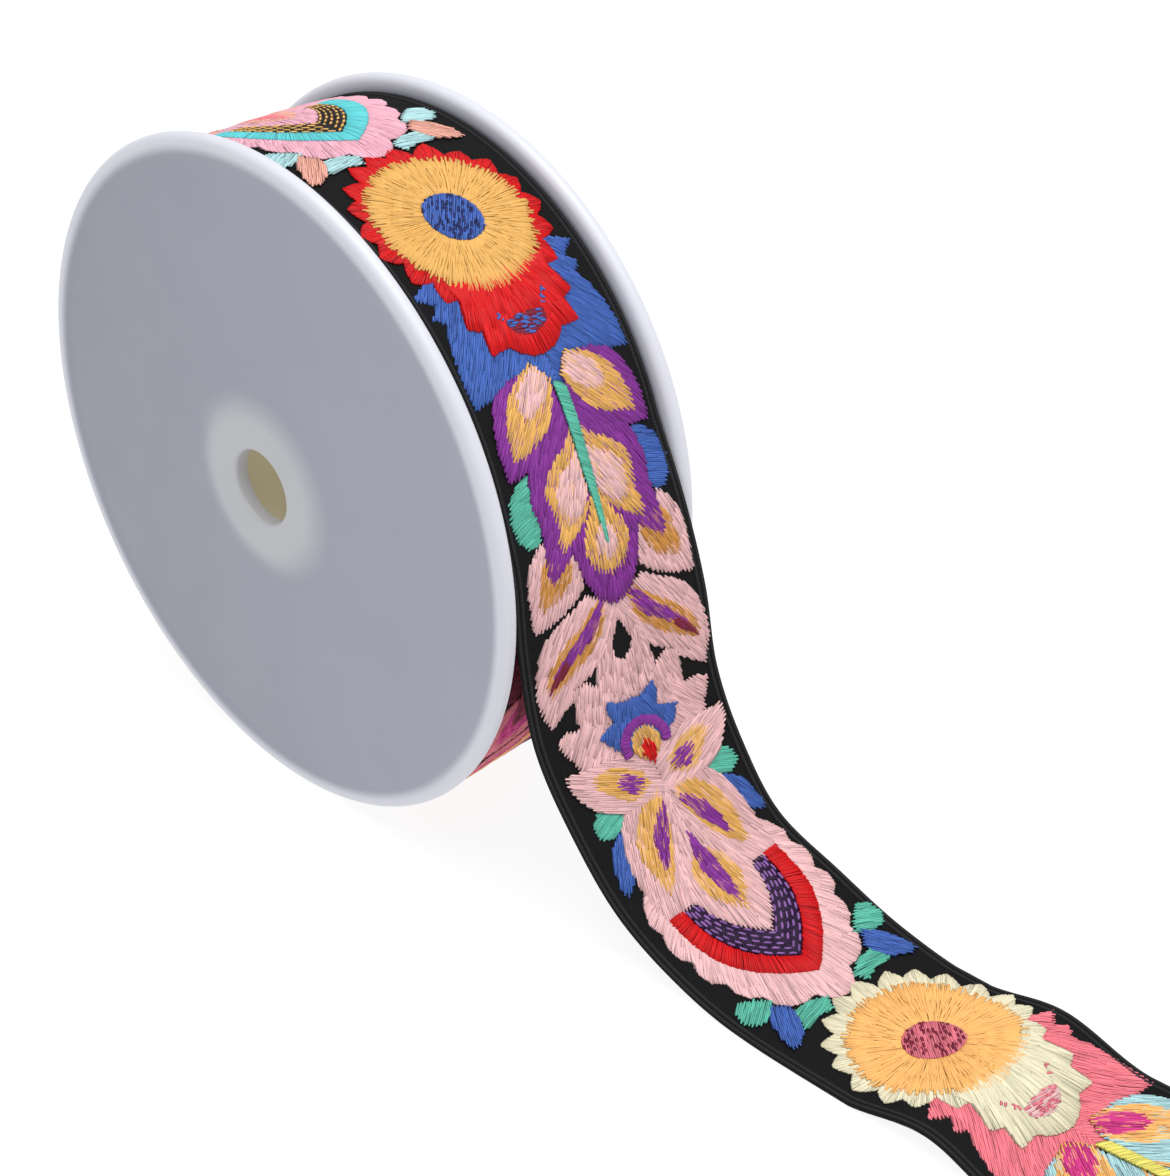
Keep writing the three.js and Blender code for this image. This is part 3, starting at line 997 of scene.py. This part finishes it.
BORDER = outline("""
    157.5,17.2 160.5,19.9 164.5,21.6 167.8,20.5 170.5,21.9 174,21.6 176.5,19.7 179.5,21.1 182.5,20.4
    184.8,17.8 187.5,18.3 190.8,17 192.6,14.4 195.5,14.3 198.6,12 200,8.4 199.8,5.8 202.2,4.8 204.2,2.4
    204.6,0""")


def mirrored(points, side):
    return points * np.array([1, side])


def both_halves(points):
    """An open curve that starts on the back half and ends on the middle, carried on to the front."""
    return np.vstack([points, mirrored(points, -1)[::-1][1:]])


def lay_patches(threads, patches):
    """Fills each patch and its mirror image. Where they meet in the middle, both go a little
    past it."""
    for patch in patches:
        half = outline(patch.outline)
        half[:, 1] = np.where(half[:, 1] == 0, -MIDDLE_LAP, half[:, 1])
        ragged = RAGGED.get(patch.role.split("_")[-1], PLAIN_RAGGED)
        for side in (-1, 1):
            shape = mirrored(half, side)
            threads.fill_patch(patch.role, shape, patch.degrees * side, patch.layer, ragged)


def ring(radius, count=240, start=0.0, end=360.0):
    return radius * unit(np.radians(np.linspace(start, end, count)))


def lay_sunflower(threads):
    """Pointed petals, a disc of long radial threads with spiky ends and a speckled centre. A
    petal's reach falls from its tip with a power of the way to its sides."""
    flower = SUNFLOWER
    half = math.pi / flower.petals
    across = np.linspace(-1, 1, PETAL_SAMPLES)
    for number in range(flower.petals):
        middle = 2 * half * (number + 0.5) + threads.random.normal(0, PETAL_TURN_SPREAD)
        tip = flower.tip + threads.random.normal(0, PETAL_TIP_SPREAD)
        reach = flower.valley + (tip - flower.valley) * (1 - abs(across)) ** PETAL_POWER
        direction = unit(middle + across * half * PETAL_OVERLAP)
        root = direction * (flower.disc - DISC_COVER)
        edge = direction * reach[:, None] * [1, flower.squash]
        threads.fill_between("petal", root, edge, 1.5 + number % 2 * 0.5, 0.2)
    for radius in UNDER_DISC_RINGS:
        edge = ring(radius + UNDER_DISC_REACH)
        threads.fill_between("disc", ring(radius), edge, 3.6, shade=DISC_SHADE)
    count = round(math.tau * flower.disc / threads.pitch * DISC_CROWDING)
    angle = np.linspace(0, math.tau, count, endpoint=False)
    angle = angle + threads.random.normal(0, DISC_TURN_SPREAD, count)
    begin = flower.disc * np.mod(np.arange(count) * GOLDEN_SHARE, 1)
    begin = np.clip(begin, flower.centre - 0.6, flower.disc - DISC_COVER)
    finish = flower.disc + flower.spike * (threads.random.random(count) - 0.2)
    begin, finish = (unit(angle) * radius[:, None] for radius in (begin, finish))
    threads.add_split("disc", begin, finish, 4.2, 9.5, shade=DISC_SHADE)
    threads.speckle(ring(flower.centre, 60)[:-1], -42, 7.5, 0.42, ("centre", "fleck"))


def lay_blossom(threads):
    """A half-round blossom with pointed scallops and a speckled crescent, on a calyx with wings."""
    lay_patches(threads, CALYX)
    root = both_halves(BLOSSOM_ROOT)
    threads.fill_between("blossom", root, both_halves(BLOSSOM), 3.5)
    crescent = np.vstack([both_halves(CRESCENT), both_halves(CRESCENT_BACK[::-1])[::-1][1:-1]])
    threads.speckle(crescent, 80, 6, 0.6, ("blossom_ground", "blossom_fleck"))
    for side in (-1, 1):
        corner = mirrored(BLOSSOM_CORNER, side)
        threads.speckle(corner, 60 * side, 5.5, 0.5, ("blossom", "blossom_fleck"))


def lay_spray(threads):
    """A stem with paired leaves, the outer pairs in the paler colours, and a bud on each side."""
    for side, bud in ((-1, "bud_front"), (1, "bud_back")):
        threads.fill_patch(bud, mirrored(BUD, side), 70 * side, 0)
    lay_patches(threads, SPRAY)
    t = np.linspace(0, 1, 80)
    along = STEM_START + (STEM_END - STEM_START) * t
    half = STEM_HALF * (1 - t**2.5) + 0.2
    front = np.stack([along, -half], axis=-1)
    back = np.stack([along + 2, half], axis=-1)
    threads.fill_between("stem", front, back, 9)


def arch_curve(name, side, samples=100):
    """A pointed arch: at x of the way to its reach, its half width is half * (1 - x ** power)."""
    reach, half, power = ARCH_CURVES[name]
    x = np.sin(np.linspace(0, 1, samples) * np.pi / 2)
    return np.stack([ARCH_START + reach * x, side * half * (1 - x**power)], axis=-1)


def lay_arch(threads):
    """Nested arches: a dark band with dashed lines, a plain band and a scalloped border."""
    for side in (-1, 1):
        inner, middle, outer = (arch_curve(name, side) for name in ARCH_CURVES)
        threads.fill_between("arch", inner, middle, 3)
        threads.fill_between("band", middle, outer, 4)
        root = np.vstack([mirrored(BORDER_ROOT, side), outer + (middle - outer) * 0.15])
        threads.fill_between("scallop", root, mirrored(BORDER, side), 2, longest=6)
        for line in range(DASH_LINES):
            path = inner + (middle - inner) * (line + 0.5) / DASH_LINES
            lengths = run_lengths(path)
            begin = np.arange(threads.random.random() * 1.5, lengths[-1] - 1.2, DASH_STEP)
            finish = np.minimum(begin + DASH_LENGTH, lengths[-1])
            start, end = (at_lengths(path, lengths, wanted) for wanted in (begin, finish))
            threads.add("dash", start, end, 4.6, 0.75)


def lay_palmette(threads):
    """A fan of petals round a small heart, with a broad crown and a toothed ring behind it."""
    lay_patches(threads, CROWN)
    lay_patches(threads, PALMETTE)
    middle = np.array([HEART_MIDDLE, 0])
    threads.fill_patch("heart_ground", middle + ring(4.4, 40)[:-1] * [1, 0.85], 0, 8)
    threads.fill_between("ring", middle + ring(4.2, 60, 75, 285), middle + ring(6.8, 60, 75, 285), 9)
    for side in (-1, 1):
        threads.fill_patch("heart", mirrored(HEART, side), 0, 9.5)


def lay_leaflets(threads):
    """Small leaves that stand out from behind the palmette and round the arch."""
    lay_patches(threads, LEAFLETS)


MOTIFS = {
    "leaflets": lay_leaflets,
    "arch": lay_arch,
    "palmette": lay_palmette,
    "spray": lay_spray,
    "blossom": lay_blossom,
    "sunflower": lay_sunflower,
}


def embroider(context, motif):
    """Lays one motif in every repeat of the shown trim, and builds its pieces."""
    trim = context.scene.trim
    threads = Threads(Strip(trim), trim, list(MOTIFS).index(motif))
    for number in range(REPEATS):
        threads.start_repeat(number)
        MOTIFS[motif](threads)
    threads.build(motif, context.scene.threads)
    return {"FINISHED"}


# Operators

SKY_COLOUR = (0.97, 0.98, 1.0, 1.0)
LIGHT_PLACE = (0.25, 0.0, 1.55)
LIGHT_AIM = (-0.05, 0, 0.05)
LIGHT_SIZE = 1.6


class PieceOperator(bpy.types.Operator):
    """Shared settings of the operators that build one piece or group of pieces"""

    bl_options = {"REGISTER", "UNDO"}


class TRIMROLL_OT_stage(PieceOperator):
    """Sets up the camera, the soft light and the pale floor"""

    bl_idname = "trimroll.stage"
    bl_label = "Stage"

    def execute(self, context):
        stage = context.scene.stage
        self.add_camera(context, stage)
        self.add_floor(stage)
        self.add_light(context, stage)
        context.scene.view_settings.view_transform = "Standard"
        return {"FINISHED"}

    def add_camera(self, context, stage):
        data = bpy.data.cameras.new("camera")
        data.sensor_width = 36
        data.lens = stage.focal * data.sensor_width
        data.clip_end = 20
        data.dof.use_dof = False
        camera = new_object("camera", data)
        sideways, forwards = math.sin(stage.azimuth), -math.cos(stage.azimuth)
        flat = math.cos(stage.elevation)
        back = Vector((sideways * flat, forwards * flat, math.sin(stage.elevation)))
        turn = back.to_track_quat("Z", "Y").to_matrix() @ Matrix.Rotation(stage.roll, 3, "Z")
        camera.matrix_world = Matrix.Translation(stage.camera_place) @ turn.to_4x4()
        context.scene.camera = camera

    def add_floor(self, stage):
        """A disc whose height grows with the cube of the way past half its radius."""
        rings, sides = 39, 96
        share = np.linspace(0, 1, rings + 1)[1:]
        angle = np.linspace(0, math.tau, sides, endpoint=False)[:, None]
        radius = stage.floor_radius * share
        height = 2.0 * np.maximum(share - 0.5, 0) ** 3 + 0 * angle
        points = np.stack([radius * np.cos(angle), radius * np.sin(angle), height], axis=-1)
        points = np.vstack([points.reshape(-1, 3), [[0, 0, 0]]])
        quads = grid_quads(sides, rings, close_rows=True)
        first = np.arange(sides) * rings
        middle = np.stack([np.full(sides, len(points) - 1), first, np.roll(first, -1)], axis=-1)
        mesh = bpy.data.meshes.new("floor")
        mesh.from_pydata(points.tolist(), [], quads.tolist() + middle.tolist())
        mesh.polygons.foreach_set("use_smooth", np.ones(len(mesh.polygons), bool))
        graph = Graph("floor")
        cloud = graph.noise(graph.coordinates(), 3, 2)
        colour = graph.mix(cloud, scaled(stage.floor_colour, 0.99), tuple(stage.floor_colour))
        graph.shine(Emission_Color=(1.0, 1.0, 1.0), Emission_Strength=0.9)
        mesh.materials.append(graph.shine(Base_Color=colour, Roughness=0.9))
        new_object("floor", mesh)

    def add_light(self, context, stage):
        world = bpy.data.worlds.new("sky")
        world.use_nodes = True
        background = world.node_tree.nodes["Background"]
        background.inputs["Color"].default_value = SKY_COLOUR
        background.inputs["Strength"].default_value = stage.sky
        context.scene.world = world
        data = bpy.data.lights.new("key", "AREA")
        data.shape = "DISK"
        data.size = LIGHT_SIZE
        data.energy = stage.key
        light = new_object("key", data)
        light.location = LIGHT_PLACE
        aim = Vector(LIGHT_AIM) - light.location
        light.rotation_euler = aim.to_track_quat("-Z", "Y").to_euler()


class TRIMROLL_OT_flanges(PieceOperator):
    """Builds the two flanges: a plate with a round bead, a raised ring and a chamfered hole"""

    bl_idname = "trimroll.flanges"
    bl_label = "Flanges"

    def profile(self, spool, radius):
        """The section, out along the inner face, round the bead and back over the outer face."""
        face = spool.plate_thickness / 2
        bead = radius - spool.rim_radius
        plate_edge = bead - spool.rim_blend
        boss_face = face + spool.boss_height
        hole, chamfer, edge = spool.hole_radius, spool.chamfer, 0.25 * MM
        return np.vstack(
            [
                arc((hole + edge, -face + edge), edge, 180, 270, 5),
                [(radius * share, -face) for share in (0.2, 0.4, 0.6, 0.8)],
                eased((plate_edge, -face), (bead, -spool.rim_radius), 9),
                arc((bead, 0), spool.rim_radius, -90, 90, 17)[1:-1],
                eased((bead, spool.rim_radius), (plate_edge, face), 9),
                [(radius * share, face) for share in (0.75, 0.6, 0.45, 0.32)],
                eased((spool.boss_radius + spool.boss_fall, face), (spool.boss_radius, boss_face), 9),
                arc((hole + chamfer, boss_face - chamfer), chamfer, 90, 180, 7),
            ]
        )

    def execute(self, context):
        spool = context.scene.spool
        axle = axle_place()
        material = flange_plastic(spool)
        for node, facing, (low, high) in (
            ("flange_front", -1, FLANGE_BOX),
            ("flange_back", 1, BACK_FLANGE_BOX),
        ):
            inner_face = high.y if facing < 0 else low.y
            place = (axle[0], inner_face + facing * spool.rim_radius, axle[2])
            profile = self.profile(spool, (high.x - low.x) / 2)
            points, quads = turned(profile, spool.sides, place, facing)
            points[:, 2] = np.maximum(points[:, 2], 0)
            piece = mesh_object(node + "_plate", points, [quads], material)
            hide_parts(node)
        return {"FINISHED"}


class TRIMROLL_OT_core(PieceOperator):
    """Builds the tube between the flanges"""

    bl_idname = "trimroll.core"
    bl_label = "Core"

    def execute(self, context):
        spool = context.scene.spool
        low, high = CORE_BOX
        outer = (high.x - low.x) / 2
        inner = outer - spool.core_wall
        half = (high.y - low.y) / 2
        edge = 0.3 * MM
        rings = np.linspace(-half + 2 * edge, half - 2 * edge, 12)
        section = np.vstack(
            [
                arc((inner + edge, -half + edge), edge, 180, 270, 4),
                arc((outer - edge, -half + edge), edge, 270, 360, 4),
                [(outer, height) for height in rings],
                arc((outer - edge, half - edge), edge, 0, 90, 4),
                arc((inner + edge, half - edge), edge, 90, 180, 4),
                [(inner, height) for height in rings[::-1]],
            ]
        )
        place = (axle_place()[0], (low.y + high.y) / 2, (low.z + high.z) / 2)
        points, quads = turned(section, 96, place, 1)
        piece = mesh_object("core_tube", points, [quads], core_plastic(spool))
        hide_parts("core")
        return {"FINISHED"}


class TRIMROLL_OT_wound_turns(PieceOperator):
    """Builds the wound turns under the shown one, with the edge of each turn at the sides"""

    bl_idname = "trimroll.wound_turns"
    bl_label = "Wound turns"

    def execute(self, context):
        """Each turn's edge is a rounded ridge that winds outwards, and the sides swell a little
        with the sine of the radius."""
        trim = context.scene.trim
        clearance, inset, ridge_height, swell = 0.3 * MM, 0.2 * MM, 0.9 * MM, 0.35 * MM
        bore = (CORE_BOX[1].x - CORE_BOX[0].x) / 2 + clearance
        half = trim.width / 2 - inset
        outside = trim.roll_radius - 2 * trim.turn_pitch
        sides, steps = 144, 116
        angle = np.linspace(0, math.tau, sides, endpoint=False)[:, None]
        share = np.linspace(0, 1, steps)[None, :]
        radius = bore + (outside - bore) * share + 0 * angle
        turn = radius / trim.turn_pitch - angle / math.tau
        ridge = abs(np.sin(np.pi * turn)) ** 0.6
        uneven = swell * np.sin(radius * 410 + 1.7 * np.sin(3 * angle))
        height = half - ridge_height * (1 - ridge) + uneven * np.sin(np.pi * share)
        radius = np.concatenate([radius, radius[:, ::-1]], axis=1)
        height = np.concatenate([height, -height[:, ::-1]], axis=1)
        points = round_axle(axle_place(), radius, angle, height)
        quads = grid_quads(sides, 2 * steps, close_rows=True, close_columns=True)
        material = wound_edge_finish(context.scene.threads)
        piece = mesh_object("wound_turns", points, [quads], material)
        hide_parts("trim_roll")
        return {"FINISHED"}


class TRIMROLL_OT_ground_cloth(PieceOperator):
    """Builds the trim's ground cloth with its corded selvedges: the last turn and the loose end"""

    bl_idname = "trimroll.ground_cloth"
    bl_label = "Ground cloth"

    def section(self, trim):
        """The cloth's closed section as (across, height) rows, face first from the front selvedge:
        two round cords in each selvedge, and a flat wrong side."""
        half = trim.width / MM / 2
        selvedge = trim.selvedge / MM
        face = (trim.cloth_thickness - trim.half_thickness) / MM
        gap, edge_drop, bevel = 0.6, 0.25, 0.35
        edge = np.linspace(half, half - selvedge, 15)
        plain = np.linspace(half - selvedge - gap, -half + selvedge + gap, 26)
        v = np.unique(np.round(np.concatenate([-edge, -plain, edge]), 4))
        cord = abs(np.sin(np.pi * 2 * np.clip((half - abs(v)) / selvedge, 0, 1))) ** 0.7
        top = face + trim.cord_height / MM * cord - edge_drop * (abs(v) > half - 0.01)
        under = np.linspace(half - bevel, -half + bevel, 14)
        bottom = np.full(len(under), -trim.half_thickness / MM)
        return np.column_stack([np.concatenate([v, under]), np.concatenate([top, bottom])]), len(v)

    def execute(self, context):
        trim = context.scene.trim
        strip = Strip(trim)
        section, face_count = self.section(trim)
        columns = len(section)
        s = np.append(np.arange(strip.along[0], strip.along[-1], 1.2), strip.along[-1])
        along = np.repeat(s, columns)
        across, height = np.tile(section, (len(s), 1)).T
        points = strip.place(along, across, height)
        quads = grid_quads(len(s), columns, close_columns=True)[:, ::-1]
        caps = np.stack([np.arange(columns), columns * len(s) - 1 - np.arange(columns)])
        material = ground_cloth_finish(context.scene.threads)
        cloth = mesh_object("ground_cloth", points, [quads, caps], material)
        mesh = cloth.data
        corner = np.zeros(len(mesh.loops), np.int32)
        mesh.loops.foreach_get("vertex_index", corner)
        uv = np.column_stack([along, across])[corner] * MM
        mesh.uv_layers.new(name="trim").data.foreach_set("uv", uv.astype(np.float32).reshape(-1))
        under = np.tile(np.arange(columns) >= face_count, len(s)).astype(np.float32)
        mesh.attributes.new("wrong_side", "FLOAT", "POINT").data.foreach_set("value", under)
        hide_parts("loose_end")
        return {"FINISHED"}


class TRIMROLL_OT_leaflets(PieceOperator):
    """Stitches the small leaves round each palmette"""

    bl_idname = "trimroll.leaflets"
    bl_label = "Leaflets"

    def execute(self, context):
        return embroider(context, "leaflets")


class TRIMROLL_OT_arches(PieceOperator):
    """Stitches the banded and scalloped arch at the end of each palmette"""

    bl_idname = "trimroll.arches"
    bl_label = "Arches"

    def execute(self, context):
        return embroider(context, "arch")


class TRIMROLL_OT_palmettes(PieceOperator):
    """Stitches the palmettes"""

    bl_idname = "trimroll.palmettes"
    bl_label = "Palmettes"

    def execute(self, context):
        return embroider(context, "palmette")


class TRIMROLL_OT_sprays(PieceOperator):
    """Stitches the leafy sprays with their stems and buds"""

    bl_idname = "trimroll.sprays"
    bl_label = "Leaf sprays"

    def execute(self, context):
        return embroider(context, "spray")


class TRIMROLL_OT_blossoms(PieceOperator):
    """Stitches the scalloped blossoms on their calyxes"""

    bl_idname = "trimroll.blossoms"
    bl_label = "Blossoms"

    def execute(self, context):
        return embroider(context, "blossom")


class TRIMROLL_OT_sunflowers(PieceOperator):
    bl_idname = "trimroll.sunflowers"
    bl_label = "Sunflowers"

    def execute(self, context):
        embroider(context, "sunflower")
        trim = context.scene.trim
        strip = Strip(trim)
        return {"FINISHED"}


PIECE_OPERATORS = [
    TRIMROLL_OT_stage,
    TRIMROLL_OT_flanges,
    TRIMROLL_OT_core,
    TRIMROLL_OT_wound_turns,
    TRIMROLL_OT_ground_cloth,
    TRIMROLL_OT_leaflets,
    TRIMROLL_OT_arches,
    TRIMROLL_OT_palmettes,
    TRIMROLL_OT_sprays,
    TRIMROLL_OT_blossoms,
    TRIMROLL_OT_sunflowers,
]
SETTING_GROUPS = {
    "spool": SpoolSettings,
    "trim": TrimSettings,
    "threads": ThreadSettings,
    "stage": StageSettings,
}


class TRIMROLL_PT_sidebar(bpy.types.Panel):
    """Lists the pieces of the trim roll and their settings"""

    bl_idname = "TRIMROLL_PT_sidebar"
    bl_label = "Trim Roll"
    bl_space_type = "VIEW_3D"
    bl_region_type = "UI"
    bl_category = "Trim Roll"

    def draw(self, context):
        for operator in PIECE_OPERATORS:
            self.layout.operator(operator.bl_idname)
        for name, group in SETTING_GROUPS.items():
            box = self.layout.box()
            box.label(text=name.capitalize())
            for setting in group.__annotations__:
                box.prop(getattr(context.scene, name), setting)


def register():
    for group in SETTING_GROUPS.values():
        bpy.utils.register_class(group)
    for operator in PIECE_OPERATORS:
        bpy.utils.register_class(operator)
    bpy.utils.register_class(TRIMROLL_PT_sidebar)
    for name, group in SETTING_GROUPS.items():
        setattr(bpy.types.Scene, name, PointerProperty(type=group))


def unregister():
    for name in SETTING_GROUPS:
        delattr(bpy.types.Scene, name)
    bpy.utils.unregister_class(TRIMROLL_PT_sidebar)
    for operator in reversed(PIECE_OPERATORS):
        bpy.utils.unregister_class(operator)
    for group in reversed(SETTING_GROUPS.values()):
        bpy.utils.unregister_class(group)


def main():
    register()
    for operator in PIECE_OPERATORS:
        group, name = operator.bl_idname.split(".")
        getattr(getattr(bpy.ops, group), name)()


if __name__ == "__main__":
    main()
